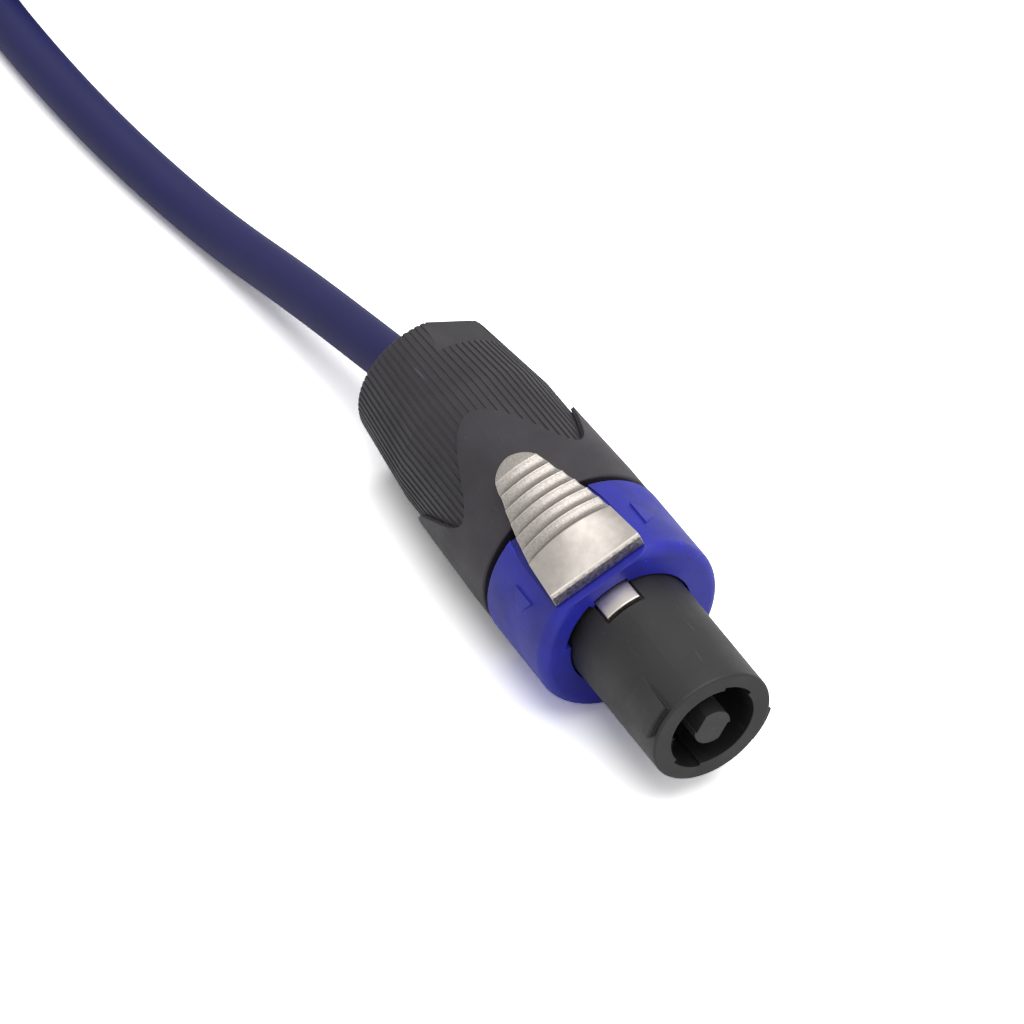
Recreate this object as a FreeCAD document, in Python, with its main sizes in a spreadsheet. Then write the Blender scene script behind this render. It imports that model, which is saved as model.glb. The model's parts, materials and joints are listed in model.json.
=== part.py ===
"""Loudspeaker cable end with its twist-lock cable connectors, in millimetres.

The near connector lies on its colour ring with its nose towards +X. Its cord runs along the floor
towards -X and is put away there as a tied hank, with the second connector lying on the strap.
Both connectors come from the same functions. Each is drawn in its own frame, with its axis on Z,
Z = 0 at the front of the nose, Z growing rearwards and the latch towards +X. A placement then lays
it down. Angles called turns are measured about that axis from the latch.
"""

import FreeCAD, Part
import math
import os
import re
import Sketcher
from FreeCAD import Placement, Rotation, Vector

# Driving dimensions, in millimetres and degrees, each with the word that names it in the sheet.
SIZES = {
    # Housing: nose, shoulder under the ring, threaded rear tube
    "nose_front_radius": 8.72,
    "nose_radius": 8.85,
    "nose_rounding": 0.35,
    "nose_length": 21.7,
    "socket_radius": 6.18,
    "socket_depth": 14.0,
    "relief_depth": 0.46,
    "relief_width": 43.5,
    "relief_turn": 57.4,
    "nose_wall": 1.55,
    "narrow_bore_end": 28.0,
    "housing_radius": 10.9,
    "housing_wall": 2.7,
    "shoulder_end": 42.3,
    "thread_radius": 10.6,
    "thread_wall": 2.0,
    "housing_end": 56.0,
    # Bayonet lugs on the nose
    "lug_height": 0.98,
    "lug_front": 0.8,
    "lug_length": 6.9,
    "lug_width": 31.0,
    "lug_turn": -40.2,
    # Centre post and contact core
    "post_radius": 2.6,
    "post_flat": 2.1,
    "post_turn": -39.0,
    "core_gap": 0.1,
    "core_end": 38.0,
    # Contacts
    "contact_thick": 0.5,
    "inner_contact_width": 1.8,
    "outer_contact_width": 3.0,
    "outer_contact_radius": 6.35,
    "contact_front": 5.0,
    "contact_end": 36.6,
    "slot_gap": 0.1,
    # Terminals
    "block_size": 3.4,
    "block_length": 6.0,
    "block_front": 31.0,
    "block_gap": 0.05,
    "screw_radius": 1.2,
    "screw_length": 2.65,
    "screw_slot": 0.4,
    "copper_radius": 0.9,
    "copper_inset": 0.4,
    "insulation_radius": 1.3,
    # Colour ring
    "ring_front": 20.0,
    "ring_length": 14.2,
    "ring_step": 0.15,
    "ring_rounding": 1.45,
    "ring_rear_rounding": 0.3,
    "ring_gap": 0.1,
    "ring_lip_gap": 0.25,
    "ring_lip_length": 1.5,
    "ring_flat_drop": 1.8,
    "ring_notch_radius": 9.85,
    "ring_notch_width": 32.4,
    "ring_relief_radius": 9.9,
    "ring_relief_width": 42.5,
    "ring_relief_turn": -41.0,
    "arrow_base": 42.0,
    "arrow_reach": 14.0,
    "arrow_front": 25.0,
    "arrow_length": 4.0,
    "arrow_height": 0.3,
    # Latch
    "latch_front": 21.2,
    "latch_rise": 1.9,
    "latch_front_drop": 1.33,
    "latch_lift": 0.2,
    "latch_bevel": 0.35,
    "latch_half_width": 6.95,
    "ridge_pitch": 2.16,
    "ridge_sag": 0.5,
    "latch_end": 42.9,
    "latch_web_width": 4.4,
    "latch_web_front": 35.6,
    "latch_web_length": 4.0,
    "latch_web_sink": 0.3,
    "latch_travel": 3.0,
    "latch_slip": 0.3,
    "latch_side_gap": 0.25,
    "latch_shell_gap": 0.4,
    "tongue_front": 17.0,
    "tongue_width": 5.0,
    "tongue_top": 9.3,
    "tongue_bottom": 7.95,
    "tongue_notch": 0.4,
    "tongue_length": 7.0,
    "bar_bottom": 9.15,
    "bar_top": 10.55,
    "bar_rear": 40.2,
    "spring_pocket_front": 25.5,
    "spring_pocket_width": 3.0,
    "spring_peg_front": 34.0,
    "spring_peg_length": 1.2,
    "spring_radius": 0.8,
    "spring_wire": 0.3,
    # Outer shell
    "shell_gap": 1.15,
    "shell_radius": 13.3,
    "shell_rear_radius": 12.82,
    "shell_taper_start": 40.0,
    "shell_end": 56.0,
    "shell_seat_gap": 0.05,
    "shell_step_gap": 0.1,
    "shell_crest": 54.6,
    "shell_valley": 43.0,
    "shell_crest_swell": 0.15,
    "shell_rounding": 0.3,
    # Bushing
    "rib_tip": 12.2,
    "rib_depth": 0.15,
    "rib_width": 0.54,
    "bushing_gap": 0.15,
    "bushing_front": 43.4,
    "bushing_taper_start": 59.5,
    "bushing_end_radius": 10.67,
    "bushing_bevel": 0.2,
    "connector_length": 74.2,
    "bushing_thread_gap": 0.12,
    "bushing_cone_front": 57.0,
    "bushing_cone_radius": 9.2,
    "bushing_cone_end": 64.0,
    "bushing_opening": 7.0,
    "wrench_flat": 9.68,
    "wrench_front": 67.8,
    "wrench_turn": 43.3,
    # Chuck
    "chuck_front": 44.0,
    "chuck_end": 62.0,
    "chuck_gap": 0.2,
    "chuck_grip_gap": 0.1,
    "chuck_slot": 0.8,
    "chuck_slot_front": 49.0,
    # Cord
    "cord_radius": 3.5,
    "jacket_front": 47.0,
    "wire_offset": 1.6,
    "wire_bend_front": 38.6,
    "wire_bend_end": 46.0,
    "lean_start": 63.2,
    "lean_angle": 10.4,
    "lean_side": 35.6,
    # Hank and strap
    "hank_outer_offset": 31.5,
    "hank_pitch": 8.3,
    "hank_layer": 7.5,
    "hank_start": 212.0,
    "hank_run": 110.0,
    "hank_waist": 12.5,
    "hank_lift": 1.6,
    "strap_thick": 1.2,
    "strap_width": 14.0,
    "strap_gap": 0.5,
    # How the connectors lie
    "near_roll": 20.5,
    "far_roll": 0.0,
    "far_offset": 12.0,
    "far_rest_gap": 0.2,
}

# The latch seen from above: distances behind its front wall, with half widths as shares of the
# front's, and a place on each of the two arcs that round its rear tip.
LATCH_OUTLINE = ((0.0, 1.0), (6.6, 0.9295), (10.65, 0.8216), (15.1, 0.659), (17.4, 0.5568))
LATCH_TIP = (20.71, 0.3419)

# Sizes that follow others, each as a formula of them.
TIES = {
    "ring_radius": "shell_radius + ring_step",
    "ring_flat_height": "shell_radius - ring_flat_drop",
    "latch_crown": "shell_radius + latch_rise",
    "latch_front_height": "latch_crown - latch_front_drop",
    "latch_panel_length": str(LATCH_OUTLINE[1][0]),
}

# Counts
RIBS = 72
RIDGES = 6
CHUCK_SLOTS = 6
SHELL_WAVES = 4
WAVE_POINTS = 48

# The cord's route behind the near connector: distance behind the front of the nose, distance
# towards the latch's lean, height over the floor.
ROUTE = (
    (90.0, 2.27, 10.28),
    (105.0, 3.75, 7.60),
    (124.0, 5.75, 3.50),
    (141.0, 8.64, 3.50),
    (158.0, 10.53, 3.50),
    (176.0, 11.42, 3.50),
    (194.2, 11.45, 3.50),
    (212.0, 11.45, 3.50),
)
ARC_SHARE = 0.45

# The last run of the hank climbs to the far connector. It ends its draw at the hank's far end,
# turns a little past it and comes back: each station's height over the waist and its slope.
CLIMB_PAST = 6.0
CLIMB = ((4.1, 0.145), (5.0, 0.155), (10.8, 0.18), (17.1, 0.185))
CLIMB_STRAIGHT = 7.0

Z_AXIS = Vector(0, 0, 1)
DOC = FreeCAD.newDocument("SpeakerCable")
NODES = []


def make_sheet():
    """Write every driving dimension into the spreadsheet, each under its own alias."""
    sheet = DOC.addObject("Spreadsheet::Sheet", "Sizes")
    for row, (word, value) in enumerate(SIZES.items(), start=1):
        sheet.set(f"A{row}", word)
        sheet.set(f"B{row}", str(value))
        sheet.setAlias(f"B{row}", word)
    DOC.recompute()
    return sheet


def formula(text):
    """Turn words that name sizes into references to the sheet, and ties into what they follow."""
    return re.sub(r"[a-z_]+", lambda m: reference(m[0]), str(text))


def reference(word):
    if word in TIES:
        return f"({formula(TIES[word])})"
    return "Sizes." + word if word in SIZES else word


def size(text):
    """The value of a formula of named sizes, for shapes that are made by their own functions."""
    return float(DOC.Sizes.evalExpression(formula(text)))


def bind(obj, **formulas):
    """Bind properties of an object to formulas of named sizes."""
    for name, text in formulas.items():
        obj.setExpression(name, formula(text))
    return obj


def add(kind, name):
    return DOC.addObject(kind, name)


def outline(body, role, name, corners):
    """A closed sketch of straight edges on an origin plane, with every corner bound to formulas."""
    sketch = body.newObject("Sketcher::SketchObject", name)
    plane = next(f for f in body.Origin.OriginFeatures if f.Role == role)
    sketch.AttachmentSupport = [(plane, "")]
    sketch.MapMode = "FlatFace"
    places = [(size(x), size(y)) for x, y in corners]
    count = len(corners)
    for k in range(count):
        start = Vector(*places[k], 0)
        end = Vector(*places[(k + 1) % count], 0)
        sketch.addGeometry(Part.LineSegment(start, end), False)
    for k in range(count):
        sketch.addConstraint(Sketcher.Constraint("Coincident", k, 2, (k + 1) % count, 1))
        for kind, place, text in zip(("DistanceX", "DistanceY"), places[k], corners[k]):
            held = sketch.addConstraint(Sketcher.Constraint(kind, -1, 1, k, 1, place))
            sketch.setExpression(f"Constraints[{held}]", formula(text))
    return sketch


def turned(name, corners):
    """A body turned about the axis from corners given as (distance along, radius)."""
    body = add("PartDesign::Body", name)
    profile = [(radius, along) for along, radius in corners]
    sketch = outline(body, "XZ_Plane", name + "_profile", profile)
    turn = body.newObject("PartDesign::Revolution", name + "_turn")
    turn.Profile = sketch
    turn.ReferenceAxis = (sketch, ["V_Axis"])
    turn.Angle = 360
    DOC.recompute()
    return body


def rounded(body, edges):
    """Round circular edges of a body, each named by its radius, place along and rounding."""
    for radius, along, rounding in edges:
        base = body.Tip
        number = next(
            k
            for k, edge in enumerate(base.Shape.Edges, start=1)
            if isinstance(edge.Curve, Part.Circle)
            and abs(edge.Curve.Radius - size(radius)) < 1e-4
            and abs(edge.Curve.Center.z - size(along)) < 1e-4
        )
        fillet = body.newObject("PartDesign::Fillet", body.Name + "_rounding")
        fillet.Base = (base, [f"Edge{number}"])
        bind(fillet, Radius=rounding)
        DOC.recompute()
    return body


def rod(name, radius, start, length, **more):
    """A cylinder, or with an Angle a wedge of one, on the connector's axis."""
    return bind(
        add("Part::Cylinder", name),
        Radius=radius,
        Height=length,
        **{"Placement.Base.z": start},
        **more,
    )


def wedge(name, radius, start, length, width, turn):
    """A wedge of a cylinder, as wide as an angle and centred on a turn about the axis."""
    more = {"Angle": width, "Placement.Rotation.Angle": f"({turn}) - ({width}) / 2"}
    return rod(name, radius, start, length, **more)


def block(name, low, high, half_width, start, length, turn="0", aside="0"):
    """A box between two heights off the axis, turned about the axis and moved aside along its width."""
    box = bind(
        add("Part::Box", name),
        Length=f"({high}) - ({low})",
        Width=f"2 * ({half_width})",
        Height=length,
    )
    angle = f"({turn})"
    edge = f"(({half_width}) - ({aside}))"
    place = {
        "Placement.Rotation.Angle": angle,
        "Placement.Base.x": f"({low}) * cos({angle}) + {edge} * sin({angle})",
        "Placement.Base.y": f"({low}) * sin({angle}) - {edge} * cos({angle})",
        "Placement.Base.z": start,
    }
    return bind(box, **place)


def cut(name, base, *tools):
    result = add("Part::Cut", name)
    result.Base = base
    result.Tool = tools[0] if len(tools) == 1 else fuse(name + "_tools", *tools)
    return result


def fuse(name, *parts):
    result = add("Part::MultiFuse", name)
    result.Shapes = list(parts)
    return result


def common(name, base, tool):
    result = add("Part::Common", name)
    result.Base = base
    result.Tool = tool
    return result


def solid(name, shape):
    """A feature that holds a shape made by its own functions."""
    feature = add("Part::Feature", name)
    feature.Shape = shape
    return feature


def node(label, obj, place):
    """Name a finished piece, lay it in its place and list it for export."""
    obj.Label = label
    obj.Placement = place
    NODES.append(obj)
    return obj


def polar(along, radius, turn):
    """A point in the connector's frame."""
    angle = math.radians(turn)
    return Vector(radius * math.cos(angle), radius * math.sin(angle), along)


def tube(edges, radius):
    """A round tube along joined edges."""
    first = edges[0]
    start = first.valueAt(first.FirstParameter)
    ahead = first.tangentAt(first.FirstParameter)
    ring = Part.Wire([Part.makeCircle(radius, start, ahead)])
    return Part.Wire(edges).makePipeShell([ring], True, False)


def arc_between(start, corner, end):
    """The arc that leaves start for the corner and reaches end from it, or a line if straight."""
    middle = (start + end) * 0.5
    rise = corner - middle
    half = (end - start).Length / 2
    if rise.Length < 1e-7 * half:
        return Part.LineSegment(start, end).toShape()
    cosine = half / math.hypot(half, rise.Length)
    return Part.Arc(start, middle + rise * (cosine / (1 + cosine)), end).toShape()


def biarc(start, leaving, end, arriving):
    """Two tangent arcs from one place and direction to another."""
    across = end - start
    both = leaving + arriving
    spread = 1 - leaving.dot(arriving)
    reach = across.dot(both)
    if spread < 1e-9:
        handle = across.dot(across) / (2 * reach)
    else:
        handle = (math.sqrt(reach**2 + 2 * spread * across.dot(across)) - reach) / (2 * spread)
    first = start + leaving * handle
    second = end - arriving * handle
    joint = (first + second) * 0.5
    return [arc_between(start, first, joint), arc_between(joint, second, end)]


# Housing


def housing(tag):
    """One moulding: the nose with its lugs, the shoulder under the ring and the threaded tube."""
    outer = turned(
        tag + "housing_outer",
        [
            ("0", "socket_radius / 2"),
            ("0", "nose_front_radius"),
            ("nose_length", "nose_radius"),
            ("nose_length", "housing_radius"),
            ("shoulder_end", "housing_radius"),
            ("shoulder_end", "thread_radius"),
            ("housing_end", "thread_radius"),
            ("housing_end", "socket_radius / 2"),
        ],
    )
    rounded(outer, [("nose_front_radius", "0", "nose_rounding")])
    lugs = [lug(f"{tag}lug_{k}", f"lug_turn + {180 * k}") for k in range(2)]
    peg = block(
        tag + "spring_peg",
        "bar_bottom - slot_gap - latch_web_sink",
        "bar_top - latch_web_sink - slot_gap",
        "spring_pocket_width / 2 - slot_gap",
        "spring_peg_front",
        "spring_peg_length",
    )
    hollow = turned(
        tag + "housing_hollow",
        [
            ("-1", "0"),
            ("-1", "socket_radius"),
            ("socket_depth", "socket_radius"),
            ("socket_depth", "nose_radius - nose_wall"),
            ("narrow_bore_end", "nose_radius - nose_wall"),
            ("narrow_bore_end", "housing_radius - housing_wall"),
            ("shoulder_end", "housing_radius - housing_wall"),
            ("shoulder_end", "thread_radius - thread_wall"),
            ("housing_end + 1", "thread_radius - thread_wall"),
            ("housing_end + 1", "0"),
        ],
    )
    reliefs = [
        wedge(
            f"{tag}socket_relief_{k}",
            "socket_radius + relief_depth",
            "-1",
            "socket_depth + 1",
            "relief_width",
            f"relief_turn + {180 * k}",
        )
        for k in range(2)
    ]
    notch = block(
        tag + "tongue_channel",
        "tongue_bottom - slot_gap",
        "housing_radius + 1",
        "tongue_width / 2 + tongue_notch",
        "tongue_front - tongue_notch",
        "tongue_length + latch_travel + 2 * tongue_notch",
    )
    channel = block(
        tag + "bar_channel",
        "bar_bottom - slot_gap",
        "housing_radius + 1",
        "tongue_width / 2 + tongue_notch",
        "tongue_front + tongue_length",
        "bar_rear + latch_travel + latch_slip - tongue_front - tongue_length",
    )
    body = cut(
        tag + "housing_body",
        fuse(tag + "housing_mass", outer, *lugs),
        hollow,
        *reliefs,
        notch,
        channel,
    )
    return fuse(tag + "housing", body, peg)


def lug(name, turn):
    """A wedge-shaped bayonet lug, full height at its front wall and flush at its rear."""
    cone = bind(
        add("Part::Cone", name),
        Radius1="nose_front_radius + lug_height",
        Radius2="nose_front_radius",
        Height="lug_length",
        Angle="lug_width",
    )
    place = {
        "Placement.Rotation.Angle": f"{turn} - lug_width / 2",
        "Placement.Base.z": "lug_front",
    }
    return bind(cone, **place)


# Contact core with its contacts and terminals


def contact_seats():
    """Each contact: its name, the turn it faces, its radii, its width and its block's inner height."""
    inner_high = "post_flat + contact_thick"
    outer_low = "outer_contact_radius - contact_thick"
    seats = []
    for k, side in enumerate("ab"):
        turn = f"post_turn + {180 * k}"
        block_low = f"{inner_high} + block_gap"
        width = "inner_contact_width"
        seats.append((f"inner_contact_{side}", turn, "post_flat", inner_high, width, block_low))
    for k, side in enumerate("ab"):
        turn = f"relief_turn + {180 * k}"
        block_low = f"{outer_low} - block_gap - block_size"
        high = "outer_contact_radius"
        width = "outer_contact_width"
        seats.append((f"outer_contact_{side}", turn, outer_low, high, width, block_low))
    return seats


def contact_core(tag):
    """The insulating core: the centre post, the slots for the contacts and the terminal pockets."""
    body = turned(
        tag + "core_body",
        [
            ("0", "0"),
            ("0", "post_radius"),
            ("socket_depth + core_gap", "post_radius"),
            ("socket_depth + core_gap", "nose_radius - nose_wall - core_gap"),
            ("narrow_bore_end + core_gap", "nose_radius - nose_wall - core_gap"),
            ("narrow_bore_end + core_gap", "housing_radius - housing_wall - core_gap"),
            ("core_end", "housing_radius - housing_wall - core_gap"),
            ("core_end", "0"),
        ],
    )
    tools = []
    for name, turn, low, high, width, block_low in contact_seats():
        inner = name.startswith("inner")
        tools.append(
            block(
                f"{tag}slot_for_{name}",
                low if inner else f"{low} - slot_gap",
                f"{high} + slot_gap",
                f"{width} / 2 + slot_gap",
                "contact_front - slot_gap" if inner else "socket_depth",
                "core_end",
                turn,
            )
        )
        if inner:
            tools.append(
                block(
                    f"{tag}flat_for_{name}",
                    low,
                    "2 * post_radius",
                    "post_radius",
                    "-1",
                    "socket_depth + 1",
                    turn,
                    f"post_radius - {width} / 2 - slot_gap",
                )
            )
        tools.append(
            block(
                f"{tag}pocket_for_{name}",
                f"{block_low} - block_gap",
                f"{block_low} + block_size + block_gap",
                "block_size / 2 + block_gap",
                "block_front - block_gap",
                "core_end - block_front + 1",
                turn,
            )
        )
        tools.append(
            terminal_rod(
                f"{tag}screw_hole_for_{name}",
                "screw_radius + block_gap",
                f"{block_low} + block_size / 2",
                "housing_radius",
                turn,
            )
        )
    return cut(tag + "core", body, *tools)


def terminal_rod(name, radius, low, length, turn):
    """A rod that points out from the axis over the middle of a terminal block."""
    shape = Part.makeCylinder(
        size(radius),
        size(length),
        polar(size("block_front + block_length / 2"), size(low), size(turn)),
        polar(0, 1, size(turn)),
    )
    return solid(name, shape)


def contact(tag, seat):
    """A flat strip contact, from inside the socket back to its terminal, inside its relief."""
    name, turn, low, high, width, _ = seat
    inner = name.startswith("inner")
    rear = "contact_end" if inner else "block_front + block_length / 2 - screw_radius - block_gap"
    long = f"{rear} - contact_front"
    half = f"{width} / 2"
    strip = block(f"{tag}{name}_strip", low, high, half, "contact_front", long, turn)
    limit = "socket_radius + relief_depth - slot_gap"
    room = rod(f"{tag}{name}_room", limit, "0", "core_end")
    return common(f"{tag}{name}_trimmed", strip, room)


def terminal_blocks(tag):
    """The brass blocks, each with a hole for the conductor and a threaded hole for its screw."""
    blocks = []
    for name, turn, _, _, _, low in contact_seats():
        brass = block(
            f"{tag}block_of_{name}",
            low,
            f"{low} + block_size",
            "block_size / 2",
            "block_front",
            "block_length",
            turn,
        )
        middle = polar(size("block_front - 1"), size(f"{low} + block_size / 2"), size(turn))
        bore = Part.makeCylinder(size("copper_radius + block_gap"), size("block_length + 2"), middle)
        thread = terminal_rod(
            f"{tag}thread_of_{name}",
            "screw_radius + block_gap",
            f"{low} + block_size / 2",
            "block_size",
            turn,
        )
        blocks.append(
            cut(f"{tag}drilled_{name}", brass, solid(f"{tag}bore_of_{name}", bore), thread)
        )
    group = add("Part::Compound", tag + "blocks")
    group.Links = blocks
    return group


def terminal_screws(tag):
    """The grub screws that press the conductors in their blocks, with a driver slot each."""
    screws = []
    for name, turn, _, _, _, low in contact_seats():
        start = f"{low} + block_size / 2 + copper_radius + block_gap"
        screw = terminal_rod(f"{tag}screw_of_{name}", "screw_radius", start, "screw_length", turn)
        slot = block(
            f"{tag}driver_slot_{name}",
            f"{start} + screw_length - screw_slot",
            f"{start} + screw_length + 1",
            "screw_slot / 2",
            "block_front - 1",
            "block_length + 2",
            turn,
        )
        screws.append(cut(f"{tag}slotted_screw_{name}", screw, slot))
    group = add("Part::Compound", tag + "screws")
    group.Links = screws
    return group


# Colour ring


def colour_ring(tag):
    """The ring pushed on over the nose: an inner lip, notches for tongue and lugs, a latch flat."""
    body = turned(
        tag + "ring_body",
        [
            ("ring_front", "nose_radius + ring_lip_gap"),
            ("ring_front", "ring_radius"),
            ("ring_front + ring_length", "ring_radius"),
            ("ring_front + ring_length", "housing_radius + ring_gap"),
            ("ring_front + ring_lip_length", "housing_radius + ring_gap"),
            ("ring_front + ring_lip_length", "nose_radius + ring_lip_gap"),
        ],
    )
    rounded(
        body,
        [
            ("ring_radius", "ring_front", "ring_rounding"),
            ("ring_radius", "ring_front + ring_length", "ring_rear_rounding"),
        ],
    )
    lip = ("ring_front - 1", "ring_lip_length + 2")
    notch = wedge(tag + "ring_notch", "ring_notch_radius", *lip, "ring_notch_width", "0")
    passes = [
        wedge(
            f"{tag}ring_pass_{k}",
            "ring_relief_radius",
            *lip,
            "ring_relief_width",
            f"ring_relief_turn + {180 * k}",
        )
        for k in range(2)
    ]
    ring = cut(tag + "ring_cut", body, ring_pocket(tag), notch, *passes)
    arrows = [arrow(f"{tag}arrow_{k}", sign) for k, sign in enumerate((1, -1))]
    return fuse(tag + "ring", ring, *arrows)


def ring_pocket(tag):
    """The flat seat under the latch, as long and wide as the latch needs for its travel."""
    spare = size("latch_side_gap")
    reach = size("latch_front + latch_travel + latch_slip")
    half = size("latch_half_width")
    side = [(size("ring_front - 1"), half + spare)]
    side += [(reach + along, half * share + spare) for along, share in LATCH_OUTLINE]
    return solid(tag + "ring_pocket", plan(side, "ring_flat_height", "ring_radius + 1"))


def plan(side, low, high, tip=()):
    """A prism between two heights, alike on both sides, from its half widths along the axis."""
    right = [Vector(size(low), half, along) for along, half in side]
    left = [Vector(p.x, -p.y, p.z) for p in reversed(right)]
    if tip:
        (along, half), end = tip
        point = Vector(size(low), 0, end)
        edges = [
            Part.Arc(right[-1], Vector(size(low), half, along), point).toShape(),
            Part.Arc(point, Vector(size(low), -half, along), left[0]).toShape(),
        ]
    else:
        edges = [Part.LineSegment(right[-1], left[0]).toShape()]
    edges = [Part.LineSegment(a, b).toShape() for a, b in zip(right, right[1:])] + edges
    edges += [Part.LineSegment(a, b).toShape() for a, b in zip(left, left[1:])]
    edges.append(Part.LineSegment(left[-1], right[0]).toShape())
    return Part.Face(Part.Wire(edges)).extrude(Vector(size(high) - size(low), 0, 0))


def arrow(name, sign):
    """A raised arrowhead that points away from the latch: a ramp, highest at its base."""
    base = size("arrow_base") * sign
    tip = base + size("arrow_reach") * sign
    front = size("arrow_front")
    rear = size("arrow_front + arrow_length")
    layers = []
    for radius in (size("ring_radius - ring_rounding"), size("ring_radius + 1")):
        corners = [
            polar(front, radius, base),
            polar(rear, radius, base),
            polar((front + rear) / 2, radius, tip),
        ]
        layers.append(Part.makePolygon(corners + corners[:1]))
    prism = Part.makeLoft(layers, True, True)
    shift = size("arrow_height") / math.sin(math.radians(size("arrow_reach")))
    centre = polar(front, shift, tip - 90 * sign)
    skin = Part.makeCylinder(size("ring_radius"), rear - front, centre)
    return solid(name, prism.common(skin))


# Latch


def latch(tag):
    """The die-cast latch: the thumb plate, the web through the shell and the locking tongue."""
    grip = common(
        tag + "latch_grip",
        latch_plan(tag),
        rod(tag + "crown_round", "latch_crown", "latch_front", "connector_length / 2"),
    )
    grooves = [ridge_groove(f"{tag}latch_groove_{k}", k) for k in range(RIDGES)]
    over_shell = rod(
        tag + "latch_over_shell",
        "shell_radius + latch_shell_gap",
        "ring_front + ring_length + shell_gap - latch_travel - latch_slip",
        "connector_length",
    )
    shaped = cut(tag + "latch_shaped", grip, *grooves, over_shell)
    web = block(
        tag + "latch_web",
        "bar_top - latch_web_sink",
        "(latch_crown - ridge_sag + shell_radius + latch_shell_gap) / 2",
        "latch_web_width / 2",
        "latch_web_front",
        "latch_web_length",
    )
    root = block(
        tag + "tongue_root",
        "tongue_bottom",
        "bar_top",
        "tongue_width / 2",
        "nose_length + latch_slip",
        "tongue_front + tongue_length - nose_length - latch_slip",
    )
    tongue = common(
        tag + "tongue",
        block(
            tag + "tongue_block",
            "tongue_bottom",
            "tongue_top",
            "tongue_width / 2",
            "tongue_front",
            "tongue_length",
        ),
        rod(tag + "tongue_round", "tongue_top", "tongue_front", "tongue_length"),
    )
    bar = block(
        tag + "latch_bar",
        "bar_bottom",
        "bar_top",
        "tongue_width / 2",
        "nose_length + latch_slip",
        "bar_rear - nose_length - latch_slip",
    )
    pocket = block(
        tag + "spring_pocket",
        "bar_bottom - 1",
        "bar_top",
        "spring_pocket_width / 2",
        "spring_pocket_front",
        "spring_peg_front + spring_peg_length + latch_slip - spring_pocket_front",
    )
    barrel = cut(tag + "latch_barrel", bar, pocket)
    return fuse(tag + "latch_whole", shaped, latch_panel(tag), web, tongue, root, barrel)


def latch_plan(tag):
    """The thumb grip's outline from above, raised from just over the ring's flat to past its crown."""
    front = size("latch_front")
    half = size("latch_half_width")
    side = [(front + along, half * share) for along, share in LATCH_OUTLINE[1:]]
    along, share = LATCH_TIP
    tip = ((front + along, half * share), size("latch_end"))
    return solid(
        tag + "latch_plan",
        plan(side, "ring_flat_height + latch_lift", "latch_crown + 1", tip),
    )


def latch_panel(tag):
    """The smooth front panel, from a bevelled straight edge up to the round of the first ridge."""
    front = size("latch_front")
    bevel = size("latch_bevel")
    half = size("latch_half_width")
    high = size("latch_front_height")
    half_rear = half * LATCH_OUTLINE[1][1]
    crown = size("latch_crown")
    high_rear = math.sqrt(crown**2 - half_rear**2)
    rear = size("latch_front + latch_panel_length")
    sections = [
        panel_section(front, half, high - bevel, high - bevel),
        panel_section(front + bevel, half, high, high),
        panel_section(rear, half_rear, high_rear, crown),
    ]
    return solid(tag + "latch_panel", Part.makeLoft(sections, True, True))


def panel_section(along, half, edge, middle):
    """A slice across the panel: its top runs from edge to edge, straight or over a middle height."""
    low = size("ring_flat_height + latch_lift")
    corners = [Vector(low, half, along), Vector(low, -half, along)]
    tops = [Vector(edge, -half, along), Vector(edge, half, along)]
    if middle > edge:
        top = Part.Arc(tops[0], Vector(middle, 0, along), tops[1]).toShape()
    else:
        top = Part.LineSegment(*tops).toShape()
    bottom = Part.LineSegment(*corners).toShape()
    near_side = Part.LineSegment(corners[1], tops[0]).toShape()
    far_side = Part.LineSegment(tops[1], corners[0]).toShape()
    return Part.Wire([bottom, near_side, top, far_side])


def ridge_groove(name, number):
    """A scooped groove round the crown, from one ridge of the thumb grip to the next."""
    round_size = "((ridge_pitch ^ 2 / 4 + ridge_sag ^ 2) / (2 * ridge_sag))"
    groove = bind(
        add("Part::Torus", name),
        Radius1=f"latch_crown - ridge_sag + {round_size}",
        Radius2=round_size,
    )
    place = f"latch_front + latch_panel_length + ridge_pitch * {number + 0.5}"
    return bind(groove, **{"Placement.Base.z": place})


def latch_spring(tag):
    """The coil spring in the bar's pocket, as the sleeve that its coils fill."""
    start = "spring_pocket_front + slot_gap"
    length = "spring_peg_front - spring_pocket_front - 2 * slot_gap"
    sleeve = cut(
        tag + "spring",
        rod(tag + "spring_outside", "spring_radius", start, length),
        rod(tag + "spring_inside", "spring_radius - spring_wire", start, length),
    )
    return sleeve


# Outer shell


def shell(tag):
    """The smooth shell behind the ring, with its waved rear edge over the bushing's ribs."""
    front = "ring_front + ring_length + shell_gap"
    inside = "rib_tip + bushing_gap"
    body = turned(
        tag + "shell_body",
        [
            (front, "housing_radius + shell_seat_gap"),
            (front, "shell_radius"),
            ("shell_taper_start", "shell_radius"),
            ("shell_end", "shell_rear_radius"),
            ("shell_end", inside),
            ("shoulder_end - shell_step_gap", inside),
            ("shoulder_end - shell_step_gap", "housing_radius + shell_seat_gap"),
        ],
    )
    rounded(body, [("shell_radius", front, "shell_rounding")])
    slot = block(
        tag + "web_slot",
        "housing_radius - 1",
        "shell_radius + 1",
        "latch_web_width / 2 + latch_slip",
        "latch_web_front - latch_slip",
        "latch_web_length + latch_travel + 2 * latch_slip",
    )
    return cut(tag + "shell", body, slot, shell_wave(tag))


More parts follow.
